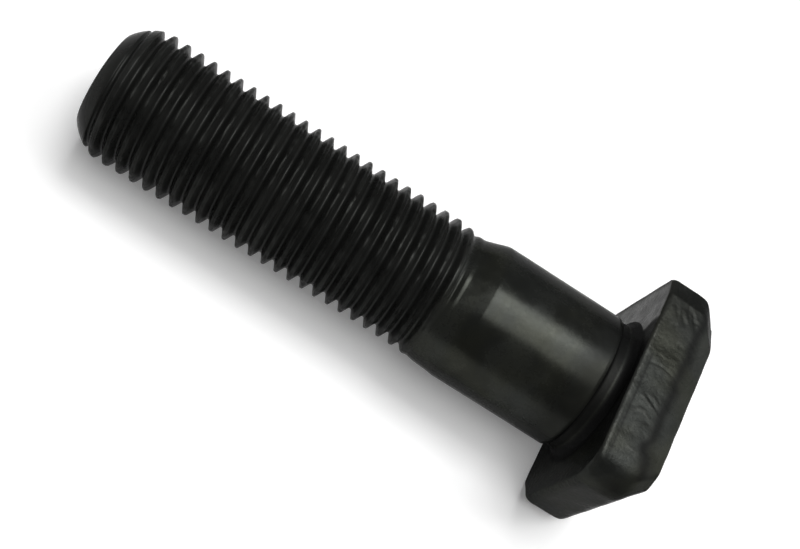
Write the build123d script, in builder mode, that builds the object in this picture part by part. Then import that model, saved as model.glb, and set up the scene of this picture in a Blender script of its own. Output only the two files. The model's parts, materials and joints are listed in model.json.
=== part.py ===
from build123d import *
import os
from math import asin, atan2, cos, degrees, hypot, sin

# A forged wheel bolt in one piece: a thick oblong head that locks against a hub
# flange, a plain shank that fits the flange's hole, and a threaded end for the
# wheel nut. All sizes are in millimetres. Stations along the bolt are measured
# from the head's bearing face, positive towards the threaded tip.

inch = 25.4

# Thread, 7/8 inch with 11 turns to the inch, given here as its outer envelope
thread_diameter = 7 / 8 * inch
thread_pitch = inch / 11
thread_depth = 0.6403 * thread_pitch
length_under_head = 3.5 * inch

# Lead end of the thread, rounded down to a small flat
lead_length = 4.9
lead_radius = 8.6
tip_flat_diameter = 15.6

# Plain shank, with a relief groove at the head and a cone down to the thread
shank_diameter = 23.3
shank_end = 23.4
relief_width = 3.2
relief_depth = 0.4
root_fillet = 1.35
neck_cone_length = 5.0
neck_length = 0.9
run_out_length = 1.3

# Head, an oblong with cut corners whose end face is bevelled on all sides
head_width = 27.3
head_length = 36.2
head_height = 10.0
side_height = 6.5
corner_cut = 3.5
end_face_width = 25.3
end_face_length = 28.2
end_corner_cut = 2.5
side_edge_radius = 1.0
bearing_edge_radius = 0.8
end_edge_radius = 0.9

# Values worked out from the sizes above
thread_radius = thread_diameter / 2
neck_radius = thread_radius - thread_depth / 2
shank_radius = shank_diameter / 2
relief_radius = shank_radius - relief_depth
tip_flat_radius = tip_flat_diameter / 2
lead_start = length_under_head - lead_length
neck_start = shank_end + neck_cone_length
neck_end = neck_start + neck_length
thread_start = neck_end + run_out_length

# The bolt lies on one long side of its head and on the first turns of its thread.
# The rest line touches the rounded edge of the bearing face and the lead's start.
edge_to_lead = lead_start + bearing_edge_radius
edge_drop = head_width / 2 - bearing_edge_radius - thread_radius
rest_tilt = atan2(edge_drop, edge_to_lead) + asin(bearing_edge_radius / hypot(edge_to_lead, edge_drop))
bearing_height = lead_start * sin(rest_tilt) + thread_radius * cos(rest_tilt)

# Across the floor, the bolt's box is centred on the origin
tip_reach = length_under_head * cos(rest_tilt) + tip_flat_radius * sin(rest_tilt)
head_reach = head_height * cos(rest_tilt) + end_face_width / 2 * sin(rest_tilt)
bearing_centre = Vector((head_reach - tip_reach) / 2, 0, bearing_height)

# Planes that the bolt is drawn on: one across it, one through its axis
along = Vector(cos(rest_tilt), 0, -sin(rest_tilt))
bolt_axis = Axis(bearing_centre, along)
bearing_plane = Plane(origin=bearing_centre, x_dir=(0, 1, 0), z_dir=along)
section_plane = Plane(origin=bearing_centre, x_dir=along, z_dir=(0, -1, 0))


def cut_oblong(length, width, cut):
    """Draws an oblong with cut corners in the open sketch."""
    Rectangle(length, width)
    chamfer(vertices(), length=cut)


with BuildPart() as wheel_bolt:
    # Head: straight sides, then the bevel up to the smaller end face
    with BuildSketch(bearing_plane):
        cut_oblong(head_length, head_width, corner_cut)
    extrude(amount=-side_height)
    with BuildSketch(bearing_plane.offset(-side_height)):
        cut_oblong(head_length, head_width, corner_cut)
    with BuildSketch(bearing_plane.offset(-head_height)):
        cut_oblong(end_face_length, end_face_width, end_corner_cut)
    loft(ruled=True)

    # Forged edges of the head, all slightly rounded: sides and bevels, then both faces
    end_rim, bevel_corners, shoulder, side_corners, bearing_rim = edges().group_by(bolt_axis)
    fillet(bevel_corners + shoulder + side_corners, radius=side_edge_radius)
    end_face, bearing_face = faces().filter_by(bolt_axis).sort_by(bolt_axis)
    fillet(end_face.edges(), radius=end_edge_radius)
    end_face, bearing_face = faces().filter_by(bolt_axis).sort_by(bolt_axis)
    fillet(bearing_face.edges(), radius=bearing_edge_radius)

    # Stem: root fillet, relief groove, shank, neck cone, thread and rounded lead
    with BuildSketch(section_plane):
        with BuildLine():
            root = Polyline(
                (root_fillet, relief_radius),
                (relief_width - relief_depth, relief_radius),
                (relief_width, shank_radius),
                (shank_end, shank_radius),
                (neck_start, neck_radius),
                (neck_end, neck_radius),
                (thread_start, thread_radius),
                (lead_start, thread_radius),
            )
            lead = RadiusArc(root @ 1, (length_under_head, tip_flat_radius), lead_radius)
            Line(lead @ 1, (length_under_head, 0))
            Line((length_under_head, 0), (-side_height, 0))
            Line((-side_height, 0), (-side_height, relief_radius + root_fillet))
            Line((-side_height, relief_radius + root_fillet), (0, relief_radius + root_fillet))
            RadiusArc((0, relief_radius + root_fillet), root @ 0, root_fillet)
        make_face()
    revolve(axis=bolt_axis)

wheel_bolt.part.label = "wheel_bolt"

os.makedirs("parts", exist_ok=True)
export_step(wheel_bolt.part, "parts/wheel_bolt.step")

print("rest tilt in degrees", round(degrees(rest_tilt), 3))
print("centre of the bearing face", bearing_centre)
print("volume in cubic millimetres", round(wheel_bolt.part.volume, 1))
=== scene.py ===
"""A forged wheel bolt of blackened steel, lying on its head and thread on a pale studio floor."""
import json
import logging
import math
from dataclasses import dataclass, field
from enum import Enum

import bpy
import numpy as np
from mathutils import Matrix, Vector


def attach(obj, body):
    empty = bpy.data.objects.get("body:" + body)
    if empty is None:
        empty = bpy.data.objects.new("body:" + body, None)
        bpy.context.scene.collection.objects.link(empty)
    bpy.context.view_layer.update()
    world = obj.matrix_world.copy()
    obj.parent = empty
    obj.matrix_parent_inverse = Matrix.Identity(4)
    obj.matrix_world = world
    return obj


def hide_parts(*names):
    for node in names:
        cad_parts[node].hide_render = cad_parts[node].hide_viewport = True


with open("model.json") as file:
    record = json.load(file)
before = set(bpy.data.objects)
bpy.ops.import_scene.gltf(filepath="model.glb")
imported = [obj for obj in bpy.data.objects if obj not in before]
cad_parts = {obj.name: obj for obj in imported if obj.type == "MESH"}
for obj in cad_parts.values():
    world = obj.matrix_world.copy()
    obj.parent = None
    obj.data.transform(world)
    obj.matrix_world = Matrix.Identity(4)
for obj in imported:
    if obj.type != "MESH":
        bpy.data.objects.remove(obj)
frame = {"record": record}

LOG = logging.getLogger("wheel_bolt")
MM = 0.001
TURN = 2.0 * math.pi
FINE_WAVES = 16
LEAST_BEND = 0.05
HEAD_FINENESS = 3
TINY = 1e-9
UNIT = (0.0, 1.0)
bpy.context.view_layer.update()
Socket = bpy.types.NodeSocket
Colour = tuple[float, float, float, float]
Pair = tuple[float, float]
Ring = tuple[np.ndarray, np.ndarray]


class Zone(Enum):
    """Named vertex masks that the steel's material reads."""

    # The thread's crests, which the material paints darker to dim their highlights.
    CREST = "crest_wear"
    # The thread, whose roots the material paints lighter to cancel their shade.
    THREAD = "thread_flanks"
    FORGED = "forged_skin"
    # Painted highlights: the head's edges, bevel ends, a near-side patch and the gouges' lips painted
    # lighter.
    PAINTED_HIGHLIGHT = "tool_marks"
    OILED = "oil_film"
    # Painted shade: the groove, the fillet, the bearing face's middle and bands on the head painted
    # darker.
    PAINTED_SHADE = "soot_film"


Masks = dict[Zone, Socket]


def smooth_step(values: np.ndarray, start: float, end: float) -> np.ndarray:
    """Rises smoothly from 0 at start to 1 at end, as three x squared less two x cubed.

    Args:
        values: where to evaluate the step.
        start: the value at which the step leaves 0.
        end: the value at which it reaches 1; it may be below start, which turns the step round.

    Returns:
        The step at each value, from 0 to 1.
    """
    x = np.clip((values - start) / (end - start), 0.0, 1.0)
    return x * x * (3.0 - 2.0 * x)


@dataclass(frozen=True)
class Fade:
    """A smooth step from 0 at its start to its top at its end, which may be below its start."""

    start: float
    end: float
    top: float = 1.0

    def of(self, values: np.ndarray) -> np.ndarray:
        """Returns the fade at each value."""
        return self.top * smooth_step(values, self.start, self.end)


@dataclass(frozen=True)
class Bell:
    """A bell curve: its top times the exponential of minus the squared offset over its reach."""

    middle: float
    reach: float
    top: float = 1.0

    def of(self, values: np.ndarray) -> np.ndarray:
        """Returns the bell curve at each value."""
        return self.top * np.exp(-(((values - self.middle) / self.reach) ** 2))


def ripple(points: np.ndarray, size: float, seed: int, waves: int = 10) -> np.ndarray:
    """Gives smooth noise over space as a sum of sine waves in seeded directions.

    Each wave is the sine of the point's distance along a random direction, at a wavelength of
    0.7 to 1.5 times the size, and the sum is divided by the square root of half their number.

    Args:
        points: an array whose last axis holds x, y and z in millimetres.
        size: the typical distance from crest to crest, in millimetres.
        seed: the seed of the directions and phases.
        waves: how many waves are added.

    Returns:
        Noise of about unit strength, one value a point.
    """
    draw = np.random.default_rng(seed)
    directions = draw.normal(size=(waves, 3))
    directions /= np.linalg.norm(directions, axis=1, keepdims=True)
    lengths = size * draw.uniform(0.7, 1.5, waves)
    phases = draw.uniform(0.0, TURN, waves)
    angles = points @ (directions * (TURN / lengths)[:, None]).T + phases
    return np.sin(angles).sum(axis=-1) / math.sqrt(waves / 2.0)


@dataclass
class BoltFrame:
    """The bolt's own axes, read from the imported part's mounts.

    Stations run along the bolt from the bearing face towards the tip, and angles run from the
    bolt's upper side towards +Y.
    """

    centre: np.ndarray = field(init=False)
    along: np.ndarray = field(init=False)
    up: np.ndarray = field(init=False)
    side: np.ndarray = field(init=False)
    shank_radius: float = field(init=False)
    thread_radius: float = field(init=False)
    shank_start: float = field(init=False)
    shank_end: float = field(init=False)
    lead_start: float = field(init=False)
    head_height: float = field(init=False)

    def __post_init__(self) -> None:
        """Reads the axis, the bearing face's centre and the radii from the record."""
        mounts = {mount["name"]: mount for mount in frame["record"]["mounts"]}
        shank, thread = mounts["shank"], mounts["thread"]
        self.along = np.array(shank["axis"], dtype=float)
        self.along /= np.linalg.norm(self.along)
        self.side = np.array([0.0, 1.0, 0.0])
        self.up = np.cross(self.along, self.side)
        shank_middle = np.array(shank["pos_m"]) / MM
        reach = (np.array(mounts["bearing_face"]["pos_m"]) / MM - shank_middle) @ self.along
        self.centre = shank_middle + reach * self.along
        self.shank_radius = shank["dims"]["r_mm"]
        self.thread_radius = thread["dims"]["r_mm"]
        self.shank_start = self.station(shank) - shank["dims"]["length_mm"] / 2
        self.shank_end = self.station(shank) + shank["dims"]["length_mm"] / 2
        self.lead_start = self.station(thread) + thread["dims"]["length_mm"] / 2
        self.head_height = -self.station(mounts["head_end"])

    def station(self, mount: dict) -> float:
        """Returns how far along the bolt a mount lies from the bearing face, in millimetres."""
        return float((np.array(mount["pos_m"]) / MM - self.centre) @ self.along)

    def place(self, station: np.ndarray, across: np.ndarray, height: np.ndarray) -> np.ndarray:
        """Turns stations, sideways and upward distances from the axis into the part's frame.

        Args:
            station: distance along the bolt, in millimetres.
            across: distance towards +Y.
            height: distance towards the bolt's upper side.

        Returns:
            Points in millimetres, on a last axis of x, y and z.
        """
        moved = station[..., None] * self.along + across[..., None] * self.side
        return self.centre + moved + height[..., None] * self.up


@dataclass
class Stem:
    """The turned stem: rounded lead, rolled thread, neck, shank, relief groove and root fillet.

    Its rows run from the tip's middle to the root fillet's rim on the bearing face.
    """

    axes: BoltFrame
    columns: int = 120
    rows_a_pitch: int = 18
    tip_rows: int = 7
    tip_spread: Pair = (0.12, 0.97)
    cone_rows: int = 20
    shank_rows: int = 40
    floor_rows: int = 4
    fillet_rows: int = 8
    length: float = 88.9
    pitch: float = 25.4 / 11
    flank_angle: float = 27.5
    arc_a_pitch: float = 0.137329
    depth_a_pitch: float = 0.640327
    tip_flat_radius: float = 7.8
    lead_radius: float = 8.6
    crest_phase: float = 0.158
    run_out_from: float = 27.4
    run_out_to: float = 32.0
    neck_start: float = 27.6
    neck_radius: float = 10.80
    neck_offset: float = 0.42
    neck_lean: float = 110.0
    relief_depth: float = 0.4
    relief_bend: tuple[Pair, ...] = ((0, 0), (0.15, 0.175), (0.5, 0.5), (0.9, 0.9), (1.3, 1))
    relief_run: float = 1.8
    root_fillet: float = 1.35
    crest_wear: float = 0.06
    crest_wander: float = 0.8
    crest_band: Fade = Fade(-0.45, -0.02)
    nick_band: Fade = Fade(-0.5, -0.1)
    nick_size: float = 1.2
    nick_depth: float = 0.07
    nick_bias: float = 0.3
    wave_band: Fade = Fade(0.2, 4.0, 0.008)
    wave_size: float = 6.0
    wave_bias: float = -1.5

    def thread_surface(self, station: np.ndarray, angle: np.ndarray) -> np.ndarray:
        """Gives the radius of the rolled thread, a right-hand helix with rounded crest and root.

        The phase is the station, moved on by crest_phase, over the pitch, plus the angle over a
        turn, and it is whole on a crest. Across one pitch the section is an arc over the crest,
        a straight flank at flank_angle off square to the axis, and an arc in the root.

        Args:
            station: distance along the bolt from the bearing face.
            angle: angle round the bolt.

        Returns:
            The radius at each point, before the lead trims it.
        """
        phase = (station + self.crest_phase) / self.pitch + angle / TURN
        off_crest = np.abs(phase - np.round(phase)) * self.pitch
        flank = math.radians(self.flank_angle)
        arc = self.arc_a_pitch * self.pitch
        reach = arc * math.cos(flank)
        depth = self.depth_a_pitch * self.pitch
        rim = arc * (1.0 - math.sin(flank))
        over_crest = arc - np.sqrt(np.maximum(arc**2 - np.minimum(off_crest, reach) ** 2, 0.0))
        off_root = np.maximum(self.pitch / 2 - off_crest, 0.0)
        in_root = depth - arc + np.sqrt(np.maximum(arc**2 - np.minimum(off_root, reach) ** 2, 0.0))
        on_flank = rim + (off_crest - reach) / math.tan(flank)
        fall = np.where(off_crest < reach, over_crest, np.where(off_root < reach, in_root, on_flank))
        full = self.axes.thread_radius - fall
        wear = self.crest_wear * (1.0 + self.crest_wander * self.wander(station, angle))
        worn = self.axes.thread_radius - wear
        blank = self.neck_radius
        grown = smooth_step(station, self.run_out_from, self.run_out_to)
        return blank + grown * (np.minimum(full, worn) - blank)

    def wander(self, station: np.ndarray, angle: np.ndarray) -> np.ndarray:
        """Returns how the crest's height wanders round the stem, a mix of slow sine waves."""
        slow = np.sin(3.0 * angle + 1.9 * station) + np.sin(5.0 * angle - 0.83 * station + 1.0)
        return 0.5 * slow * np.sin(2.0 * angle + 0.37 * station)

    def lead_rows(self) -> np.ndarray:
        """Gives the tip's flat and the lead's arc as rows of station and radius.

        The lead is one arc of lead_radius from the tip's flat to the crests, bulged outwards.

        Returns:
            Rows of station and radius, from the tip's middle to the lead's start.
        """
        flat = self.tip_flat_radius
        start = np.array([self.axes.lead_start, self.axes.thread_radius])
        end = np.array([self.length, flat])
        chord = end - start
        span = float(np.linalg.norm(chord))
        radius = self.lead_radius
        inward = np.array([chord[1], -chord[0]]) / span
        centre = (start + end) / 2 + inward * math.sqrt(radius**2 - span**2 / 4)
        rays = np.array([end, start]) - centre
        first, last = np.arctan2(rays[:, 1], rays[:, 0])
        sweep = np.linspace(first, last, round(span / self.pitch * self.rows_a_pitch) + 1)
        arc = centre + radius * np.stack([np.cos(sweep), np.sin(sweep)], axis=1)
        middle = np.linspace(*self.tip_spread, self.tip_rows)[:, None] * np.array([[0.0, flat]])
        return np.vstack([middle + [self.length, 0.0], arc])

    def root_rows(self) -> np.ndarray:
        """Gives the relief groove and the quarter-round fillet that runs out on the bearing face.

        The groove's step follows relief_bend, whose pairs are depths along and in. Its floor
        starts relief_run depths along.

        Returns:
            Rows of station and radius, from the shank's end to the fillet's rim.
        """
        outer = self.axes.shank_radius
        inner = outer - self.relief_depth
        start = self.axes.shank_start
        bend = np.array([start, outer]) - self.relief_depth * np.array(self.relief_bend)
        floor_start = start - self.relief_run * self.relief_depth
        along_floor = np.linspace(floor_start, self.root_fillet, self.floor_rows, endpoint=False)
        floor = np.stack([along_floor, np.full(len(along_floor), inner)], axis=1)
        turn = np.linspace(0.0, math.pi / 2, self.fillet_rows)
        fillet_station = self.root_fillet * (1.0 - np.sin(turn))
        fillet_radius = inner + self.root_fillet * (1.0 - np.cos(turn))
        return np.vstack([bend, floor, np.stack([fillet_station, fillet_radius], axis=1)])

    def surface(self) -> tuple[np.ndarray, np.ndarray, np.ndarray]:
        """Works out the stem's whole grid, rows along it and columns round it.

        The cone narrows in a straight line from the shank to the neck. The neck is shifted
        sideways by its offset times the cosine of the angle from its lean.

        Returns:
            Stations, radii and the angle of each grid point.
        """
        axes = self.axes
        lead = self.lead_rows()
        thread = np.arange(axes.lead_start, self.neck_start, -self.pitch / self.rows_a_pitch)[1:]
        cone = np.linspace(self.neck_start, axes.shank_end, self.cone_rows)
        shank = np.linspace(axes.shank_end, axes.shank_start, self.shank_rows)[1:-1]
        root = self.root_rows()
        station = np.concatenate([lead[:, 0], thread, cone, shank, root[:, 0]])
        crest = np.full(len(thread), axes.thread_radius)
        share = 1.0 - (cone - axes.shank_end) / (self.neck_start - axes.shank_end)
        narrowing = self.neck_radius + (axes.shank_radius - self.neck_radius) * share
        plain = np.full(len(shank), axes.shank_radius)
        limit = np.concatenate([lead[:, 1], crest, narrowing, plain, root[:, 1]])
        angle = np.arange(self.columns) * TURN / self.columns
        stations, angles = np.meshgrid(station, angle, indexing="ij")
        limits = np.repeat(limit[:, None], self.columns, axis=1)
        threaded = stations > self.neck_start
        neck = smooth_step(stations, axes.shank_end, self.neck_start)
        neck = neck * (1.0 - smooth_step(stations, self.run_out_from, self.run_out_to + 1.0))
        radii = np.where(threaded, np.minimum(limits, self.thread_surface(stations, angles)), limits)
        radii = radii + self.neck_offset * neck * np.cos(angles - math.radians(self.neck_lean))
        return stations, radii, angles


@dataclass
class Mark:
    """One gouge that a die or shear left on the head's upper side, with a lip along one edge.

    A depth below zero makes it a low ridge instead.
    """

    across: float
    station: float
    turn: float
    length: float
    width: float
    depth: float
    bend: float = 0.0
    lip: float = 0.45
    lip_offset: float = 1.7

    def press(self, across: np.ndarray, station: np.ndarray) -> np.ndarray:
        """Gives how far the gouge pushes the surface out, below zero in its groove.

        The groove is a bell curve across its centre line, which bends as a parabola, and it
        fades at both ends as the exponential of a fourth power. Its lip is a second bell curve,
        lip_offset widths to one side.

        Args:
            across: distance towards +Y, in millimetres.
            station: distance along the bolt from the bearing face.

        Returns:
            The push at each point, in millimetres.
        """
        turn = math.radians(self.turn)
        dy, ds = across - self.across, station - self.station
        run = dy * math.cos(turn) + ds * math.sin(turn)
        off = -dy * math.sin(turn) + ds * math.cos(turn) - self.bend * run**2
        window = np.exp(-((2.0 * run / self.length) ** 4))
        groove = Bell(0.0, self.width).of(off)
        ridge = Bell(self.lip_offset * self.width, self.width, self.lip).of(off)
        return self.depth * window * (ridge - groove)


def upper_marks() -> list[Mark]:
    """Lists the gouges on the head's upper side, as the photograph shows them.

    Returns:
        The gouges, the far end's last.
    """
    return [
        Mark(-2.45, -3.45, 90.0, 4.8, 0.17, 0.060, bend=-0.08, lip=0.1),
        Mark(-2.1, -1.2, 0.0, 5.6, 0.18, 0.045, lip=0.2),
        Mark(1.25, -1.7, 40.0, 1.2, 0.20, 0.040),
        Mark(3.5, -4.3, -64.0, 3.8, 0.26, 0.050),
        Mark(2.5, -4.9, -59.0, 2.0, 0.26, 0.035),
        Mark(5.3, -3.3, 85.0, 2.8, 0.34, -0.030, bend=-0.44),
        Mark(6.6, -4.9, 105.0, 1.6, 0.30, 0.030),
        Mark(12.1, -4.15, 98.0, 1.8, 0.30, 0.060),
        Mark(10.0, -1.1, 0.0, 10.0, 0.20, 0.035),
        Mark(-12.4, -5.1, 145.0, 3.6, 0.28, 0.065, bend=-0.05),
        Mark(-12.9, -4.1, 158.0, 2.3, 0.26, 0.050),
        Mark(-11.4, -3.6, 140.0, 2.1, 0.28, 0.055),
        Mark(-12.1, -2.2, 156.0, 1.7, 0.24, 0.050),
        Mark(-7.1, -4.9, 60.0, 0.9, 0.35, 0.070),
        Mark(-9.7, -2.75, 30.0, 0.7, 0.30, 0.045),
        Mark(-12.0, -5.6, 95.0, 1.2, 0.25, 0.070),
    ]


@dataclass(frozen=True)
class Corner:
    """One cut corner of the head: the cut's reach across and down, and the radius of its bends."""

    across: float
    height: float
    radius: float

    def inset(self, amount: float) -> "Corner":
        """Moves the corner in with its outline.

        The cut stays parallel, and its reach shrinks by the excess of both sides over the slant.

        Args:
            amount: how far the outline moves in on every side, in millimetres.

        Returns:
            The corner of the smaller outline.
        """
        slant = math.hypot(self.across, self.height)
        excess = amount * (self.across + self.height - slant)
        across = self.across - excess / self.height
        height = self.height - excess / self.across
        return Corner(across, height, max(self.radius - amount, LEAST_BEND))


@dataclass(frozen=True)
class CutOblong:
    """An oblong with four cut corners, from the near upper one round to the far upper one.

    Near is the end towards +Y. The corners differ, because the forging and its shears left
    them so.
    """

    near: float
    far: float
    half_width: float
    corners: tuple[Corner, Corner, Corner, Corner]

    def inset(self, amount: float) -> "CutOblong":
        """Returns the outline that lies further in by the amount on every side."""
        corners = tuple(corner.inset(amount) for corner in self.corners)
        return CutOblong(self.near - amount, self.far - amount, self.half_width - amount, corners)

    def loop(self, counts: list[int], bend_points: int) -> np.ndarray:
        """Draws the outline as points, from the middle of its upper side round over near.

        Each side is a run of evenly spaced points between its two tangent points, and each
        bend is an arc. A tangent point lies back from the corner by the bend's radius times
        the tangent of half the turn.

        Args:
            counts: how many points each of the eight sides holds, the near upper cut first.
            bend_points: how many points each of the eight bends holds.

        Returns:
            Points as rows of across and height.
        """
        top = self.half_width
        upper_near, lower_near, lower_far, upper_far = self.corners
        vertices = np.array([
            [self.near - upper_near.across, top], [self.near, top - upper_near.height],
            [self.near, lower_near.height - top], [self.near - lower_near.across, -top],
            [lower_far.across - self.far, -top], [-self.far, lower_far.height - top],
            [-self.far, top - upper_far.height], [upper_far.across - self.far, top],
        ])
        radii = np.repeat([corner.radius for corner in self.corners], 2)[:, None]
        before = vertices - np.roll(vertices, 1, axis=0)
        after = np.roll(before, -1, axis=0)
        before /= np.linalg.norm(before, axis=1, keepdims=True)
        after /= np.linalg.norm(after, axis=1, keepdims=True)
        turn = np.arccos(np.clip((before * after).sum(axis=1), -1.0, 1.0))[:, None]
        set_back = radii * np.tan(turn / 2)
        enter, leave = vertices - set_back * before, vertices + set_back * after
        inward = np.stack([before[:, 1], -before[:, 0]], axis=1)
        sweep = np.linspace(0.0, 1.0, bend_points, endpoint=False)[None, :, None] * turn[:, None, :]
        hub = (enter + radii * inward)[:, None, :]
        spoke = np.cos(sweep) * inward[:, None, :] - np.sin(sweep) * before[:, None, :]
        arcs = hub - radii[:, None, :] * spoke
        ends = np.roll(enter, -1, axis=0)
        runs = [
            np.vstack([arc, start + (end - start) * np.linspace(0.0, 1.0, count, endpoint=False)[:, None]])
            for arc, start, end, count in zip(arcs, leave, ends, counts)
        ]
        return np.roll(np.vstack(runs), counts[-1] // 2, axis=0)


@dataclass
class Head:
    """The forged head: bearing face, rounded sides, bevels and end face, round a cut oblong.

    Its rows run from the root fillet's rim out over the bearing face, down the sides and in
    over the end face to its middle.
    """

    axes: BoltFrame
    inner_radius: float
    columns: int
    side: CutOblong = CutOblong(
        18.1, 17.85, 13.65,
        (Corner(3.2, 3.7, 4.2), Corner(3.5, 3.5, 2.0), Corner(3.5, 3.5, 1.2), Corner(3.6, 1.3, 1.2)),
    )
    end: CutOblong = CutOblong(
        14.4, 15.3, 12.9,
        (Corner(1.9, 2.0, 1.6), Corner(2.5, 2.5, 1.2), Corner(2.5, 2.5, 1.2), Corner(6.2, 3.3, 3.0)),
    )
    side_height: float = 6.25
    shoulder_sag: float = 0.35
    shoulder_span: float = 13.0
    shoulder_waves: tuple[tuple[float, float, float], ...] = ((0.10, 0.9, 0.5), (0.08, 2.1, 2.0))
    shoulder_hump: Bell = Bell(10.2, 1.5, 0.9)
    shoulder_softness: float = 0.05
    edge_run: float = 0.65
    edge_inset: float = 0.30
    near_growth: Fade = Fade(12.5, 17.5, 1.8)
    far_growth: Fade = Fade(-8.0, -12.0, 0.9)
    rim_run: float = 0.3
    rim_inset: float = 0.35
    face_rings: int = 19
    edge_rings: int = 10
    side_rings: int = 37
    rim_rings: int = 5
    end_rings: int = 12
    innermost: float = 0.06
    lower_points: int = 46
    short_points: int = 40
    cut_points: int = 10
    bend_points: int = 6

    def outline(self, shape: CutOblong) -> np.ndarray:
        """Draws an outline with as many points as the head has columns.

        The upper side, which shows most, holds all that the other sides leave over.

        Args:
            shape: the outline to draw.

        Returns:
            Points as rows of across and height.
        """
        others = self.lower_points + 2 * self.short_points + 4 * self.cut_points + 8 * self.bend_points
        upper = self.columns - others
        half = [self.cut_points, self.short_points, self.cut_points]
        return shape.loop([*half, self.lower_points, *half, upper], self.bend_points)

    def shoulder(self, across: np.ndarray) -> np.ndarray:
        """Works out how far down the sides the bevel starts.

        The line sags as a parabola towards both ends, wanders as a sum of sine waves, and has
        one hump, a bell curve.

        Args:
            across: distance towards +Y, in millimetres.

        Returns:
            The shoulder's depth below the bearing face.
        """
        wander = self.shoulder_sag * (across / self.shoulder_span) ** 2
        for size, rate, phase in self.shoulder_waves:
            wander = wander + size * np.sin(rate * across + phase)
        return self.side_height + wander - self.shoulder_hump.of(across)

    def spread_face(self, side: np.ndarray, growth: np.ndarray) -> list[Ring]:
        """Spreads the bearing face in straight lines from the fillet's circle to its edge.

        Args:
            side: the outline of the sides.
            growth: how many times its size the edge is at each point.

        Returns:
            Its rings of points, and their stations.
        """
        angle = np.arange(self.columns) * TURN / self.columns
        circle = self.inner_radius * np.stack([np.sin(angle), np.cos(angle)], axis=1)
        rim = side + growth * (self.outline(self.side.inset(self.edge_inset)) - side)
        shares = np.linspace(0.0, 1.0, self.face_rings)
        level = np.zeros((self.columns, 1))
        return [(circle * (1.0 - share) + rim * share, level) for share in shares]

    def round_edge(self, side: np.ndarray, growth: np.ndarray) -> list[Ring]:
        """Rounds the bearing face's edge as a quarter of an ellipse.

        Args:
            side: the outline of the sides.
            growth: how many times its size the edge is at each point.

        Returns:
            Its rings of points, and their stations.
        """
        rings = []
        for turn in np.linspace(0.0, math.pi / 2, self.edge_rings + 1)[1:]:
            inner = self.outline(self.side.inset(self.edge_inset * (1.0 - math.sin(turn))))
            station = -self.edge_run * (1.0 - math.cos(turn)) * growth
            rings.append((side + growth * (inner - side), station))
        return rings

    def bevel_sides(self, side: np.ndarray, growth: np.ndarray) -> list[Ring]:
        """Carries the sides down and bevels them towards the end face.

        The sides' outline blends into the end face's smaller one, with a share that turns up
        smoothly at the shoulder, as half the sum of the lean and the root of its square plus a
        softness.

        Args:
            side: the outline of the sides.
            growth: how many times its size the bearing face's edge is at each point.

        Returns:
            Their rings of points, and their stations.
        """
        full = self.axes.head_height
        end = self.outline(self.end)
        shoulder = self.shoulder(side[:, :1])
        start = self.edge_run * growth
        rings = []
        for share in np.linspace(0.0, 1.0, self.side_rings + 1)[1:]:
            depth = start + share * (full - self.rim_run - start)
            lean = (depth - shoulder) / (full - shoulder)
            blend = 0.5 * (lean + np.sqrt(lean**2 + self.shoulder_softness))
            rings.append((side * (1.0 - blend) + end * blend, -depth))
        return rings

    def close_end(self, bevel_foot: np.ndarray) -> list[Ring]:
        """Rounds the end face's rim as a quarter of an ellipse and fills the face.

        The face's rings shrink to the innermost one, a share of the rim.

        Args:
            bevel_foot: the last ring of the bevel.

        Returns:
            The rings of points, and their stations.
        """
        full = np.full((self.columns, 1), self.axes.head_height)
        reach = np.abs(bevel_foot).max(axis=0)
        rings = []
        for turn in np.linspace(0.0, math.pi / 2, self.rim_rings + 1)[1:]:
            shrunk = bevel_foot * (1.0 - self.rim_inset * (1.0 - math.cos(turn)) / reach)
            rings.append((shrunk, self.rim_run - full - self.rim_run * math.sin(turn)))
        rim = rings[-1][0]
        shares = np.linspace(1.0, self.innermost, self.end_rings + 1)[1:]
        return rings + [(rim * share, -full) for share in shares]

    def surface(self) -> tuple[np.ndarray, np.ndarray, np.ndarray]:
        """Works out the head's grid, ring by ring; its edge grows towards both ends.

        Returns:
            Stations, across and height of each grid point.
        """
        side = self.outline(self.side)
        growth = 1.0 + self.near_growth.of(side[:, :1]) + self.far_growth.of(side[:, :1])
        rings = [step(side, growth) for step in (self.spread_face, self.round_edge, self.bevel_sides)]
        rings.append(self.close_end(rings[-1][-1][0]))
        shapes, stations = (np.array(part) for part in zip(*sum(rings, [])))
        return stations[..., 0], shapes[..., 0], shapes[..., 1]


@dataclass(frozen=True)
class HeadPoints:
    """Where the head's points lie on the bolt's own axes, and how far each faces three ways."""

    station: np.ndarray
    across: np.ndarray
    height: np.ndarray
    faces_tip: np.ndarray
    faces_near: np.ndarray
    faces_up: np.ndarray


@dataclass(frozen=True)
class PaintedHighlights:
    """Where the head is painted lighter, as painted highlights.

    That is the rounded edge between the bearing face and the upper side, both ends of the
    upper bevel, and a soft patch low on the near side.
    """

    facing_up: Fade = Fade(0.4, 0.7)
    facing_near: Fade = Fade(0.5, 0.9)
    edge: Bell = Bell(-0.4, 0.4, 0.45)
    bevel: Fade = Fade(-7.3, -8.3)
    bevel_far: Fade = Fade(-1.0, -9.0, 0.35)
    bevel_near: Fade = Fade(12.0, 14.0, 0.9)
    patch_height: Bell = Bell(2.0, 6.0, 0.75)
    patch_station: Bell = Bell(-3.0, 3.5)

    def share(self, at: HeadPoints) -> np.ndarray:
        """Works out how much painted highlight the head takes, as the strongest of its three places.

        Args:
            at: the head's points.

        Returns:
            How much painted highlight each point takes, from 0 to 1.
        """
        ends = self.bevel_far.of(at.across) + self.bevel_near.of(at.across)
        bevel = self.bevel.of(at.station) * ends
        upper = self.facing_up.of(at.faces_up) * np.maximum(self.edge.of(at.station), bevel)
        patch = self.patch_height.of(at.height) * self.patch_station.of(at.station)
        return np.maximum(upper, self.facing_near.of(at.faces_near) * patch)


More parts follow.
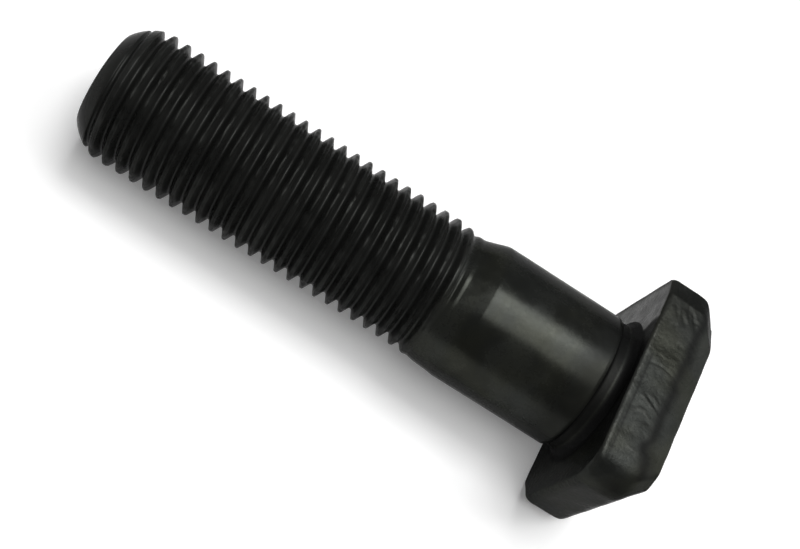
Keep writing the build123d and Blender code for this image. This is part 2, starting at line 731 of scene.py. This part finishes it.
@dataclass(frozen=True)
class OilFilm:
    """A thin film of oil on the far part of the bearing face, in patches of noise."""

    weight: float = 0.28
    patch_size: float = 2.6
    patch_strength: float = 0.15
    facing_tip: Fade = Fade(0.75, 0.97)
    far_part: Fade = Fade(-8.0, -9.0)
    far_rim: Fade = Fade(-17.4, -16.2)
    draw_back: Fade = Fade(9.5, 12.0, 1.3)

    def part(self, at: HeadPoints) -> np.ndarray:
        """Returns 1 on the far part and 0 elsewhere; its limit draws back near the upper side."""
        return self.far_part.of(at.across + self.draw_back.of(at.height))

    def share(self, at: HeadPoints, noise: np.ndarray) -> np.ndarray:
        """Works out where the oil lies.

        Args:
            at: the head's points.
            noise: noise of the patches' size at each point.

        Returns:
            The share of oil at each point, from 0 to 1.
        """
        patch = 1.0 + self.patch_strength * noise
        inside = self.facing_tip.of(at.faces_tip) * self.part(at) * self.far_rim.of(at.across)
        return np.clip(self.weight * patch * inside, 0.0, 1.0)


@dataclass(frozen=True)
class PaintedShade:
    """Painted shade on the head: a darker colour that stands in for shade.

    It lies on the middle of the bearing face and by the fillet, in a band under the shoulder
    of the upper side, where the bevel starts, in a fine line behind the face's edge, in a
    patch on the near upper cut, and as a haze on the far part of the upper side.
    """

    facing_tip: Fade = Fade(0.75, 0.97)
    facing_up: Fade = Fade(0.6, 0.85)
    open_face: Fade = Fade(15.0, 11.0, 0.68)
    fillet_reach: float = 1.4
    band: float = 0.70
    band_drop: float = 0.32
    band_reach: float = 0.83
    near_drop: Fade = Fade(9.5, 12.5, 0.42)
    near_reach: Fade = Fade(9.5, 12.5, 0.50)
    line: Bell = Bell(-1.35, 0.22, 0.5)
    line_across: Fade = Fade(-6.0, -2.0)
    haze_across: Fade = Fade(-4.5, -11.0, 0.22)
    haze_station: Fade = Fade(-6.4, -5.6)
    cut_height: Fade = Fade(7.8, 9.8, 0.6)
    cut_across: Bell = Bell(17.1, 1.5)
    cut_station: Bell = Bell(-5.3, 2.3)

    def under_shoulder(self, at: HeadPoints, head: Head) -> np.ndarray:
        """Works out the band, a bell curve below the shoulder, lower and wider at the near end.

        Args:
            at: the head's points.
            head: the head, whose shoulder the band follows.

        Returns:
            The band's painted shade at each point, from 0 to 1.
        """
        drop = self.band_drop + self.near_drop.of(at.across)
        reach = self.band_reach + self.near_reach.of(at.across)
        below = -at.station - head.shoulder(at.across)
        return self.band * np.exp(-(((below - drop) / reach) ** 2))

    def share(self, at: HeadPoints, head: Head, oiled_part: np.ndarray) -> np.ndarray:
        """Works out where the painted shade lies, as the strongest of its places.

        Args:
            at: the head's points.
            head: the head, for its shoulder and its fillet's rim.
            oiled_part: 1 on the far part of the bearing face, which takes no painted shade.

        Returns:
            The share of painted shade at each point, from 0 to 1.
        """
        rim = head.inner_radius
        by_fillet = Fade(rim + self.fillet_reach, rim).of(np.hypot(at.across, at.height))
        on_face = (1.0 - oiled_part) * np.maximum(self.open_face.of(at.across), by_fillet)
        line = self.line.of(at.station) * self.line_across.of(at.across)
        haze = self.haze_across.of(at.across) * self.haze_station.of(at.station)
        on_side = np.maximum.reduce([self.under_shoulder(at, head), haze, line])
        cut = self.cut_height.of(at.height) * self.cut_across.of(at.across)
        return np.maximum.reduce([
            self.facing_tip.of(at.faces_tip) * on_face,
            self.facing_up.of(at.faces_up) * on_side,
            cut * self.cut_station.of(at.station),
        ])


@dataclass(frozen=True)
class GrooveShade:
    """Painted shade in the relief groove, and a haze of it that runs out on the shank.

    It is darkest at the groove's step and in the root fillet, and thin on the ridge
    between the two. The floor and the line are placed from the step, the ridge and the fillet
    from the ridge, and the haze from the bearing face.
    """

    floor: Fade = Fade(0.25, -0.05, 0.8)
    line: Bell = Bell(0.0, 0.22)
    ridge: Bell = Bell(0.0, 0.16, 0.5)
    fillet: Fade = Fade(-0.1, -0.55)
    haze: Fade = Fade(10.5, 4.5, 0.42)

    def share(self, station: np.ndarray, step: float, ridge: float) -> np.ndarray:
        """Works out how much painted shade the stem takes beside the head.

        Args:
            station: distance along the bolt from the bearing face, in millimetres.
            step: the station of the middle of the groove's step.
            ridge: the station where the groove's floor meets the fillet.

        Returns:
            The share of soot at each station, from 0 to 1.
        """
        floor = self.floor.of(station - step) - self.ridge.of(station - ridge)
        haze = self.haze.of(station) * (station > step)
        fillet = self.fillet.of(station - ridge)
        return np.maximum.reduce([floor, haze, fillet, self.line.of(station - step)])


@dataclass
class BoltBody:
    """The whole bolt as one closed surface: the stem's grid stitched to the head's."""

    axes: BoltFrame
    stem: Stem
    head: Head
    # Painted highlights on the head's edges, bevel ends and near-side patch.
    wear: PaintedHighlights = PaintedHighlights()
    oil: OilFilm = OilFilm()
    # Painted shade on the head, in the relief groove and on the shank beside it.
    soot: PaintedShade = PaintedShade()
    groove_shade: GrooveShade = GrooveShade()
    seed: int = 7
    skin_size: float = 5.0
    skin_height: float = 0.024
    grain_size: float = 1.6
    grain_height: float = 0.005
    grain_warp: float = 0.4
    noise_top: float = 1.4
    face_edge: float = 0.05
    face_skin: float = 0.35
    grain_fade: Fade = Fade(-0.05, -0.8)
    gouge_facing: Fade = Fade(0.75, 0.95)
    gouge_height: Fade = Fade(0.85, 0.95)
    # How much lighter the gouges' lips are painted, a painted highlight.
    lip_highlight: float = 0.4
    lip_height: float = 0.02
    forged_fade: Fade = Fade(2.5, 0.0)

    def grids(self) -> tuple[np.ndarray, np.ndarray]:
        """Works out both grids before any surface relief.

        Returns:
            The stem's and the head's points in the part's frame, in millimetres.
        """
        station, radius, angle = self.stem.surface()
        stem = self.axes.place(station, radius * np.sin(angle), radius * np.cos(angle))
        station, across, height = self.head.surface()
        return stem, self.axes.place(station, across, height)

    @staticmethod
    def outward(grid: np.ndarray) -> np.ndarray:
        """Gives unit normals of a grid from the cross product of its two central differences.

        Args:
            grid: points, rows along and columns round the bolt.

        Returns:
            A unit vector at each point, which faces out of the steel.
        """
        round_it = np.roll(grid, -1, axis=1) - np.roll(grid, 1, axis=1)
        down_it = np.gradient(grid, axis=0)
        normal = np.cross(round_it, down_it)
        size = np.linalg.norm(normal, axis=-1, keepdims=True)
        return normal / np.maximum(size, TINY)

    def local(self, points: np.ndarray) -> tuple[np.ndarray, np.ndarray, np.ndarray]:
        """Returns the station, across and height of points in the part's frame."""
        moved = points - self.axes.centre
        return moved @ self.axes.along, moved @ self.axes.side, moved @ self.axes.up

    def survey(self, grid: np.ndarray) -> HeadPoints:
        """Measures the head's points.

        Args:
            grid: the head's points in millimetres.

        Returns:
            Their places on the bolt's axes, and their normals' parts along each of them.
        """
        normal = self.outward(grid)
        facing = [normal @ way for way in (self.axes.along, self.axes.side, self.axes.up)]
        return HeadPoints(*self.local(grid), *facing)

    def forge(self, grid: np.ndarray) -> tuple[np.ndarray, np.ndarray]:
        """Presses scale, dents and gouges into the head, along its normals.

        The push is two sizes of noise, thinned to face_skin on the bearing face and faded out
        near the stem, plus the gouges on the upper side, which are masked to the points that
        face up. The noise is cut off at its top and pushed in by as much, so that it stays
        inside the head's true form.

        Args:
            grid: the head's points in millimetres.

        Returns:
            The pressed grid, and how much painted highlight each point takes, from 0 to 1: on
            the gouges' lips and on the head's edges, bevel ends and near patch.
        """
        at = self.survey(grid)
        rim = self.head.inner_radius
        on_face = self.face_skin * smooth_step(np.hypot(at.across, at.height), rim, rim + 1.0)
        skinned = np.where(at.station < -self.face_edge, 1.0, on_face)
        slow = ripple(grid, self.skin_size, self.seed)
        fine = ripple(grid + self.grain_warp * slow[..., None], self.grain_size, self.seed + 1, FINE_WAVES)
        top = self.noise_top
        push = self.skin_height * (np.minimum(slow, top) - top)
        push = push + self.grain_height * (np.minimum(fine, top) - top) * self.grain_fade.of(at.station)
        on_upper = self.gouge_height.of(at.height / self.head.side.half_width)
        on_upper = on_upper * self.gouge_facing.of(at.faces_up)
        gouge = sum(mark.press(at.across, at.station) for mark in upper_marks())
        # The gouges' lips are painted lighter, a painted highlight.
        lips = self.lip_highlight * on_upper * np.clip(gouge / self.lip_height, 0.0, 1.0)
        pressed = grid + (skinned * push + on_upper * gouge)[..., None] * self.outward(grid)
        return pressed, np.maximum(lips, self.wear.share(at))

    def films(self, grid: np.ndarray) -> tuple[np.ndarray, np.ndarray]:
        """Works out where oil lies and where painted shade lies on the head.

        Args:
            grid: the head's points in millimetres.

        Returns:
            The share of oil and of painted shade at each point, from 0 to 1.
        """
        at = self.survey(grid)
        patches = ripple(grid, self.oil.patch_size, self.seed + 4)
        return self.oil.share(at, patches), self.soot.share(at, self.head, self.oil.part(at))

    def roll(self, grid: np.ndarray) -> np.ndarray:
        """Gives the stem its slight unevenness: long low waves, and small nicks on the thread.

        Args:
            grid: the stem's points in millimetres.

        Returns:
            The points, moved along their radii.
        """
        stem = self.stem
        station, across, height = self.local(grid)
        radial = across[..., None] * self.axes.side + height[..., None] * self.axes.up
        radius = np.maximum(np.hypot(across, height), TINY)
        waves = stem.wave_band.of(station) * (ripple(grid, stem.wave_size, self.seed + 2) + stem.wave_bias)
        crest = self.threaded(station) * stem.nick_band.of(radius - self.axes.thread_radius)
        rough = ripple(grid, stem.nick_size, self.seed + 3, FINE_WAVES)
        nicks = stem.nick_depth * crest * np.maximum(rough + stem.nick_bias, 0.0)
        return grid + ((waves - nicks) / radius)[..., None] * radial

    def threaded(self, station: np.ndarray) -> np.ndarray:
        """Returns 1 along the thread and 0 along the shank, with the run-out between them."""
        return smooth_step(station, self.stem.run_out_from, self.stem.run_out_to)

    def faces(self, stem_rows: int, head_rows: int) -> list[tuple[int, ...]]:
        """Lists the faces of the closed surface, all facing outwards.

        Quads fill both grids, a fan closes the tip and another the end face, and where the
        stem meets the head each stem edge shares one face with the finer head edges beside it.

        Args:
            stem_rows: rows in the stem's grid.
            head_rows: rows in the head's grid.

        Returns:
            Corner indices of each face, for the points stem, head, tip pole, end pole in order.
        """
        coarse, fine = self.stem.columns, self.head.columns
        base = stem_rows * coarse
        tip_pole = base + head_rows * fine
        listed: list[tuple[int, ...]] = []
        for start, rows, columns in ((0, stem_rows, coarse), (base, head_rows, fine)):
            first = start + np.arange(rows - 1)[:, None] * columns + np.arange(columns)[None, :]
            following = start + np.arange(rows - 1)[:, None] * columns + (np.arange(columns) + 1) % columns
            quads = np.stack([first, following, following + columns, first + columns], axis=-1)
            listed.extend(map(tuple, quads.reshape(-1, 4).tolist()))
        here = np.arange(coarse)
        beyond = (here + 1) % coarse
        listed.extend(zip([tip_pole] * coarse, beyond.tolist(), here.tolist()))
        last = base - coarse
        finer = fine // coarse
        rim = [(base + (finer * here + step) % fine) for step in range(finer, -1, -1)]
        stitch = np.stack([last + here, last + beyond] + rim, axis=-1)
        listed.extend(map(tuple, stitch.tolist()))
        ring = base + (head_rows - 1) * fine + np.arange(fine)
        ring_next = np.roll(ring, -1)
        listed.extend(zip(ring.tolist(), ring_next.tolist(), [tip_pole + 1] * fine))
        return listed

    def build(self) -> bpy.types.Object:
        """Builds the bolt's mesh, with its masks as point attributes.

        Returns:
            The bolt's object, at the origin, with its place in its mesh.
        """
        stem, head = self.grids()
        station = self.local(stem)[0]
        stem = self.roll(stem)
        head, painted_highlight = self.forge(head)
        _, across, height = self.local(stem)
        threaded = self.threaded(station)
        crest = threaded * self.stem.crest_band.of(np.hypot(across, height) - self.axes.thread_radius)
        # Painted shade: where the head and the groove are painted darker.
        oiled, painted_shade = self.films(head)
        step = self.axes.shank_start - self.stem.relief_depth / 2
        groove_shade = self.groove_shade.share(station, step, self.stem.root_fillet)
        poles = np.array([
            self.axes.centre + self.stem.length * self.axes.along,
            self.axes.centre - self.axes.head_height * self.axes.along,
        ])
        points = np.vstack([stem.reshape(-1, 3), head.reshape(-1, 3), poles]) * MM
        mesh = bpy.data.meshes.new("wheel_bolt_steel")
        mesh.from_pydata(points, [], self.faces(len(stem), len(head)))
        mesh.validate()
        flat_head = np.zeros(head.shape[:2])
        masks = {
            Zone.CREST: (crest, flat_head),
            Zone.THREAD: (threaded, flat_head),
            Zone.FORGED: (self.forged_fade.of(station), flat_head + 1.0),
            # Painted highlights: lighter colour on the head's edges, patches and gouge lips.
            Zone.PAINTED_HIGHLIGHT: (np.zeros(stem.shape[:2]), painted_highlight),
            Zone.OILED: (np.zeros(stem.shape[:2]), oiled),
            Zone.PAINTED_SHADE: (groove_shade, painted_shade),
        }
        for zone, (on_stem, on_head) in masks.items():
            layer = mesh.attributes.new(zone.value, "FLOAT", "POINT")
            ends = [float(on_stem[0].mean()), float(on_head[-1].mean())]
            values = np.concatenate([on_stem.ravel(), on_head.ravel(), ends])
            layer.data.foreach_set("value", values.astype(np.float32))
        mesh.polygons.foreach_set("use_smooth", np.ones(len(mesh.polygons), dtype=bool))
        mesh.update()
        bolt = bpy.data.objects.new("wheel_bolt_steel", mesh)
        bpy.context.scene.collection.objects.link(bolt)
        return bolt


class NodeSheet:
    """A node tree that nodes are added to and wired in by name."""

    def __init__(self, tree: bpy.types.NodeTree) -> None:
        """Keeps the tree and clears it."""
        self.tree = tree
        tree.nodes.clear()

    def add(self, kind: str, settings: dict | None = None, **inputs: object) -> bpy.types.Node:
        """Adds a node, sets its properties, and sets or wires its inputs.

        Args:
            kind: the node's type name, such as ShaderNodeTexNoise.
            settings: property values, such as data_type.
            inputs: values or output sockets by input name, with _ for a space. A name that
                ends in a number, such as in_1, picks the input at that place.

        Returns:
            The new node.
        """
        node = self.tree.nodes.new(kind)
        for name, value in (settings or {}).items():
            setattr(node, name, value)
        for name, value in inputs.items():
            key = int(name[3:]) if name.startswith("in_") else name.replace("_", " ")
            self.feed(node.inputs[key], value)
        return node

    def feed(self, socket: Socket, value: object) -> None:
        """Wires an output socket into an input, or sets the input's value.

        Args:
            socket: the input.
            value: an output socket or a plain value.
        """
        if isinstance(value, Socket):
            self.tree.links.new(value, socket)
        else:
            socket.default_value = value

    def maths(self, operation: str, first: object, second: object, third: object = 0.0) -> Socket:
        """Adds a Math node and returns its output."""
        node = self.add("ShaderNodeMath", {"operation": operation}, in_0=first, in_1=second, in_2=third)
        return node.outputs[0]

    def span(self, value: object, ends: Pair, to: Pair) -> Socket:
        """Adds a smooth Map Range node.

        Args:
            value: the value to map.
            ends: the two values between which it is mapped.
            to: what the two become.

        Returns:
            The mapped value's socket.
        """
        node = self.add("ShaderNodeMapRange", {"interpolation_type": "SMOOTHSTEP"}, Value=value)
        for name, amount in zip(("From Min", "From Max", "To Min", "To Max"), (*ends, *to)):
            node.inputs[name].default_value = amount
        return node.outputs["Result"]

    def mix(self, share: object, first: object, second: object) -> Socket:
        """Adds a colour Mix node.

        Args:
            share: the second colour's share.
            first: the colour at a share of 0.
            second: the colour at a share of 1.

        Returns:
            The mixed colour's socket.
        """
        node = self.add("ShaderNodeMix", {"data_type": "RGBA"})
        self.feed(node.inputs[0], share)
        self.feed(node.inputs[6], first)
        self.feed(node.inputs[7], second)
        return node.outputs[2]

    def blend(self, share: object, first: object, second: object) -> Socket:
        """Adds a value Mix node and returns its output."""
        node = self.add("ShaderNodeMix", {"data_type": "FLOAT"}, in_0=share, in_2=first, in_3=second)
        return node.outputs[0]


def mottle_group() -> bpy.types.NodeTree:
    """Makes the group that gives the blotches and fine grain of an oxide skin.

    Returns:
        A group with inputs Place, Blotch and Grain, the two texture scales, and outputs Cloud,
        Grain and Tint, all from 0 to 1; Tint wanders at twice the size of the blotches.
    """
    group = bpy.data.node_groups.new("oxide_mottle", "ShaderNodeTree")
    sockets = (("Place", "INPUT", "Vector"), ("Blotch", "INPUT", "Float"), ("Grain", "INPUT", "Float"))
    sockets += tuple((name, "OUTPUT", "Float") for name in ("Cloud", "Grain", "Tint"))
    for name, way, kind in sockets:
        group.interface.new_socket(name, in_out=way, socket_type=f"NodeSocket{kind}")
    sheet = NodeSheet(group)
    place, blotch, grain = sheet.add("NodeGroupInput").outputs[:3]
    outside = sheet.add("NodeGroupOutput")
    wide = sheet.maths("MULTIPLY", blotch, 0.5)
    layers = (
        ({"Scale": blotch, "Detail": 2.0, "Roughness": 0.5}, (0.3, 0.7)),
        ({"Scale": grain, "Detail": 3.0, "Roughness": 0.6}, (0.3, 0.7)),
        ({"Scale": wide, "Detail": 2.0, "Roughness": 0.5, "Distortion": 0.5}, (0.35, 0.65)),
    )
    for socket, (settings, ends) in zip(outside.inputs, layers):
        noise = sheet.add("ShaderNodeTexNoise", Vector=place, **settings)
        sheet.feed(socket, sheet.span(noise.outputs[0], ends, UNIT))
    return group


@dataclass(frozen=True)
class BlackenedSteel:
    """Satin black-oxide steel, duller and scaled on the forged head, its crests painted darker."""

    olive: Colour = (0.0278, 0.0290, 0.0236, 1.0)
    slate: Colour = (0.0246, 0.0262, 0.0242, 1.0)
    # The lighter colour of the painted highlights.
    highlight_paint: Colour = (0.045, 0.046, 0.042, 1.0)
    # The darker colour of the painted shade.
    soot: Colour = (0.010, 0.010, 0.010, 1.0)
    # The thread's roots are painted lighter to cancel their shade, its crests darker to dim their
    # highlights.
    root_painted_lighter: Colour = (0.0240, 0.0246, 0.0233, 1.0)
    crest_painted_darker: Colour = (0.0110, 0.0114, 0.0105, 1.0)
    turned_roughness: float = 0.24
    forged_roughness: float = 0.36
    root_roughness: float = 0.31
    crest_roughness: float = 0.29
    metal: float = 0.6
    thread_metal: float = 0.45
    edge_tint: Colour = (0.25, 0.25, 0.25, 1.0)
    index: float = 1.16
    film_roughness: float = 0.22
    shade_roughness: float = 0.25
    cloud_roughness: Pair = (-0.03, 0.05)
    grain_roughness: Pair = (-0.02, 0.03)
    blotch: float = 190.0
    grain: float = 1400.0
    cloud_shade: Pair = (0.84, 1.16)
    crest_shade: Pair = (1.0, 0.75)
    highlight_share: float = 0.8
    turned_relief: float = 0.2
    forged_relief: float = 1.9
    bump_strength: float = 0.35
    bump_distance: float = 0.03 * MM

    def colour(self, sheet: NodeSheet, mask: Masks, cloud: Socket, tint: Socket) -> Socket:
        """Mixes the colour: the skin's two tints, the thread, the blotches, then painted light.

        The painted light is the thread's lighter roots and darker crests, painted highlights and
        painted shade.

        Args:
            sheet: the material's nodes.
            mask: the socket of each zone's mask.
            cloud: the blotches.
            tint: the wider blotches between the skin's two tints.

        Returns:
            The colour's socket.
        """
        skin = sheet.mix(tint, self.olive, self.slate)
        # Painted light on the thread: roots lighter against their shade, crests darker against their
        # highlights.
        depth = sheet.maths("MULTIPLY", mask[Zone.CREST], sheet.span(cloud, UNIT, self.crest_shade))
        rolled = sheet.mix(depth, self.root_painted_lighter, self.crest_painted_darker)
        skin = sheet.mix(mask[Zone.THREAD], skin, rolled)
        shade = sheet.add("ShaderNodeVectorMath", {"operation": "SCALE"}, in_0=skin)
        sheet.feed(shade.inputs["Scale"], sheet.span(cloud, UNIT, self.cloud_shade))
        # Painted highlights: the head's edges, patches and gouge lips are mixed towards a lighter colour.
        highlight_paint = sheet.maths("MULTIPLY", mask[Zone.PAINTED_HIGHLIGHT], self.highlight_share)
        skin = sheet.mix(highlight_paint, shade.outputs[0], self.highlight_paint)
        # Painted shade: the groove, fillet and shaded parts of the head are mixed towards a darker colour.
        return sheet.mix(mask[Zone.PAINTED_SHADE], skin, self.soot)

    def roughness(self, sheet: NodeSheet, mask: Masks, cloud: Socket, grain: Socket) -> Socket:
        """Adds up the roughness: turned, forged or rolled steel, painted shade, blotches and grain.

        Args:
            sheet: the material's nodes.
            mask: the socket of each zone's mask.
            cloud: the blotches.
            grain: the fine grain.

        Returns:
            The roughness's socket.
        """
        base = sheet.span(mask[Zone.FORGED], UNIT, (self.turned_roughness, self.forged_roughness))
        rolled = sheet.span(mask[Zone.CREST], UNIT, (self.root_roughness, self.crest_roughness))
        base = sheet.blend(mask[Zone.THREAD], base, rolled)
        base = sheet.maths("MULTIPLY_ADD", mask[Zone.PAINTED_SHADE], self.shade_roughness, base)
        rough = sheet.maths("ADD", base, sheet.span(cloud, UNIT, self.cloud_roughness))
        return sheet.maths("ADD", rough, sheet.span(grain, UNIT, self.grain_roughness))

    def bump(self, sheet: NodeSheet, forged: Socket, grain: Socket) -> Socket:
        """Raises the grain as a bump, which is higher where the steel is forged.

        Args:
            sheet: the material's nodes.
            forged: the forged skin's mask.
            grain: the fine grain.

        Returns:
            The bumped normal's socket.
        """
        rise = self.forged_relief - self.turned_relief
        relief = sheet.maths("MULTIPLY_ADD", forged, rise, self.turned_relief)
        bump = sheet.add("ShaderNodeBump", Height=sheet.maths("MULTIPLY", grain, relief))
        bump.inputs["Strength"].default_value = self.bump_strength
        bump.inputs["Distance"].default_value = self.bump_distance
        return bump.outputs["Normal"]

    def make(self, mottle: bpy.types.NodeTree) -> bpy.types.Material:
        """Builds the steel's material.

        Args:
            mottle: the shared group of blotches and grain.

        Returns:
            The material, with its Principled BSDF fed by colour, roughness and bump.
        """
        material = bpy.data.materials.new("blackened_steel")
        material.use_nodes = True
        sheet = NodeSheet(material.node_tree)
        place = sheet.add("ShaderNodeTexCoord").outputs["Object"]
        mask = {
            zone: sheet.add("ShaderNodeAttribute", {"attribute_name": zone.value}).outputs["Fac"]
            for zone in Zone
        }
        group = sheet.add("ShaderNodeGroup", {"node_tree": mottle})
        for socket, value in zip(group.inputs, (place, self.blotch, self.grain)):
            sheet.feed(socket, value)
        cloud, grain, tint = group.outputs
        shader = sheet.add("ShaderNodeBsdfPrincipled", Coat_Weight=mask[Zone.OILED])
        sheet.feed(shader.inputs["Base Color"], self.colour(sheet, mask, cloud, tint))
        sheet.feed(shader.inputs["Roughness"], self.roughness(sheet, mask, cloud, grain))
        metallic = sheet.span(mask[Zone.THREAD], UNIT, (self.metal, self.thread_metal))
        sheet.feed(shader.inputs["Metallic"], metallic)
        sheet.feed(shader.inputs["Normal"], self.bump(sheet, mask[Zone.FORGED], grain))
        shader.inputs["IOR"].default_value = self.index
        shader.inputs["Specular Tint"].default_value = self.edge_tint
        shader.inputs["Coat Roughness"].default_value = self.film_roughness
        output = sheet.add("ShaderNodeOutputMaterial")
        sheet.feed(output.inputs["Surface"], shader.outputs[0])
        return material


@dataclass(frozen=True)
class StudioFloor:
    """A wide floor of white paper, which keeps the bolt's soft shadow.

    The lift that whitens it fades out with distance, so that it meets the grey room unseen.
    """

    colour: Colour = (0.93, 0.93, 0.93, 1.0)
    lift: float = 0.17
    fade_from: float = 1.5
    fade_to: float = 9.0
    half_size: float = 12.0

    def build(self) -> bpy.types.Object:
        """Lays the floor at the height that the bolt lies on.

        Returns:
            The floor's object.
        """
        size = self.half_size
        corners = [(-size, -size, 0.0), (size, -size, 0.0), (size, size, 0.0), (-size, size, 0.0)]
        mesh = bpy.data.meshes.new("studio_floor")
        mesh.from_pydata(corners, [], [(0, 1, 2, 3)])
        floor = bpy.data.objects.new("studio_floor", mesh)
        bpy.context.scene.collection.objects.link(floor)
        material = bpy.data.materials.new("white_paper")
        material.use_nodes = True
        sheet = NodeSheet(material.node_tree)
        matt = sheet.add("ShaderNodeBsdfDiffuse", Color=self.colour)
        rays = sheet.add("ShaderNodeLightPath")
        seen = sheet.maths("MAXIMUM", rays.outputs["Is Camera Ray"], rays.outputs["Is Glossy Ray"])
        seen = sheet.maths("MAXIMUM", seen, rays.outputs["Is Transmission Ray"])
        place = sheet.add("ShaderNodeTexCoord").outputs["Object"]
        distance = sheet.add("ShaderNodeVectorMath", {"operation": "LENGTH"}, in_0=place).outputs["Value"]
        strength = sheet.span(distance, (self.fade_from, self.fade_to), (self.lift, 0.0))
        lift = sheet.add("ShaderNodeEmission", Strength=sheet.maths("MULTIPLY", seen, strength))
        both = sheet.add("ShaderNodeAddShader", in_0=matt.outputs[0], in_1=lift.outputs[0])
        output = sheet.add("ShaderNodeOutputMaterial")
        sheet.feed(output.inputs["Surface"], both.outputs[0])
        mesh.materials.append(material)
        return floor


@dataclass(frozen=True)
class Panel:
    """A soft light panel that faces the bolt.

    It is placed by two slants from straight overhead, one towards +X and one towards +Y, and
    sized by the slants that it spans, all in degrees. Its glow is its radiance.
    """

    name: str
    towards_x: float
    towards_y: float
    span_x: float
    span_y: float
    glow: float
    distance: float = 3.0

    def hang(self) -> bpy.types.Object:
        """Adds the panel as an area lamp, whose power is its glow times its area times pi.

        Returns:
            The lamp's object.
        """
        lamp = bpy.data.lights.new(self.name, "AREA")
        lamp.shape = "RECTANGLE"
        lamp.size = 2 * self.distance * math.tan(math.radians(self.span_x / 2))
        lamp.size_y = 2 * self.distance * math.tan(math.radians(self.span_y / 2))
        lamp.energy = self.glow * math.pi * lamp.size * lamp.size_y
        slants = math.tan(math.radians(self.towards_x)), math.tan(math.radians(self.towards_y))
        away = Vector((*slants, 1.0)).normalized()
        level = (Vector((1.0, 0.0, 0.0)) - away * away.x).normalized()
        turned = Matrix((level, away.cross(level), away)).transposed()
        panel = bpy.data.objects.new(self.name, lamp)
        panel.matrix_world = Matrix.Translation(away * self.distance) @ turned.to_4x4()
        panel.visible_camera = False
        bpy.context.scene.collection.objects.link(panel)
        return panel


@dataclass(frozen=True)
class Studio:
    """The soft light: panels overhead, dimmer ones past both ends and behind, a grey room."""

    room: float = 0.10
    panels: tuple[Panel, ...] = (
        Panel("overhead_rear", -4.5, -16.0, 25.0, 18.0, 9.8),
        Panel("overhead_front", -4.5, 6.9, 25.0, 29.8, 5.1),
        Panel("head_end_upper", -26.0, -15.5, 17.0, 20.0, 4.0),
        Panel("head_end_lower", -58.0, -43.0, 18.0, 28.0, 3.5),
        Panel("head_end_near", -55.0, 4.0, 14.0, 14.0, 2.0),
        Panel("tip_side", 38.0, -30.0, 14.0, 16.0, 1.2),
        Panel("rear_wall", 0.0, -64.0, 60.0, 32.0, 0.10),
    )

    def light(self) -> None:
        """Hangs the panels and sets the room's grey."""
        for panel in self.panels:
            panel.hang()
        world = bpy.data.worlds.new("grey_room")
        world.use_nodes = True
        sheet = NodeSheet(world.node_tree)
        grey = (self.room, self.room, self.room, 1.0)
        backdrop = sheet.add("ShaderNodeBackground", Color=grey, Strength=1.0)
        output = sheet.add("ShaderNodeOutputWorld")
        sheet.feed(output.inputs["Surface"], backdrop.outputs[0])
        bpy.context.scene.world = world


@dataclass(frozen=True)
class Viewpoint:
    """The photograph's camera: where it stands, what it looks at, its roll and its lens."""

    position: tuple[float, float, float] = (0.02107, 0.08461, 0.18381)
    forward: tuple[float, float, float] = (-0.12831, -0.43410, -0.89168)
    upward: tuple[float, float, float] = (0.54257, -0.78335, 0.30328)
    picture_width: int = 800
    focal_pixels: float = 1250.0
    sensor: float = 36.0
    nearest: float = 0.01

    def stand(self) -> bpy.types.Object:
        """Adds the camera, turned by its forward and upward directions, and makes it the scene's.

        Returns:
            The camera's object.
        """
        lens = bpy.data.cameras.new("photo_camera")
        lens.sensor_width = self.sensor
        lens.sensor_fit = "HORIZONTAL"
        lens.lens = self.focal_pixels * self.sensor / self.picture_width
        lens.clip_start = self.nearest
        back = -Vector(self.forward).normalized()
        right = Vector(self.upward).cross(back).normalized()
        turned = Matrix((right, back.cross(right), back)).transposed()
        camera = bpy.data.objects.new("photo_camera", lens)
        camera.matrix_world = Matrix.Translation(Vector(self.position)) @ turned.to_4x4()
        bpy.context.scene.collection.objects.link(camera)
        bpy.context.scene.camera = camera
        return camera


def main() -> None:
    """Builds the bolt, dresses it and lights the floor."""
    logging.basicConfig(level=logging.INFO, format="%(name)s: %(message)s")
    bpy.context.scene.view_settings.view_transform = "Standard"
    axes = BoltFrame()
    stem = Stem(axes)
    fillet_rim = axes.shank_radius - stem.relief_depth + stem.root_fillet
    head = Head(axes, fillet_rim, HEAD_FINENESS * stem.columns)
    bolt = BoltBody(axes, stem, head).build()
    bolt.data.materials.append(BlackenedSteel().make(mottle_group()))
    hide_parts("wheel_bolt")
    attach(bolt, "root")
    LOG.info("%s has %d points and %d faces", bolt.name, len(bolt.data.vertices), len(bolt.data.polygons))
    StudioFloor().build()
    Studio().light()
    Viewpoint().stand()


if __name__ == "__main__":
    main()
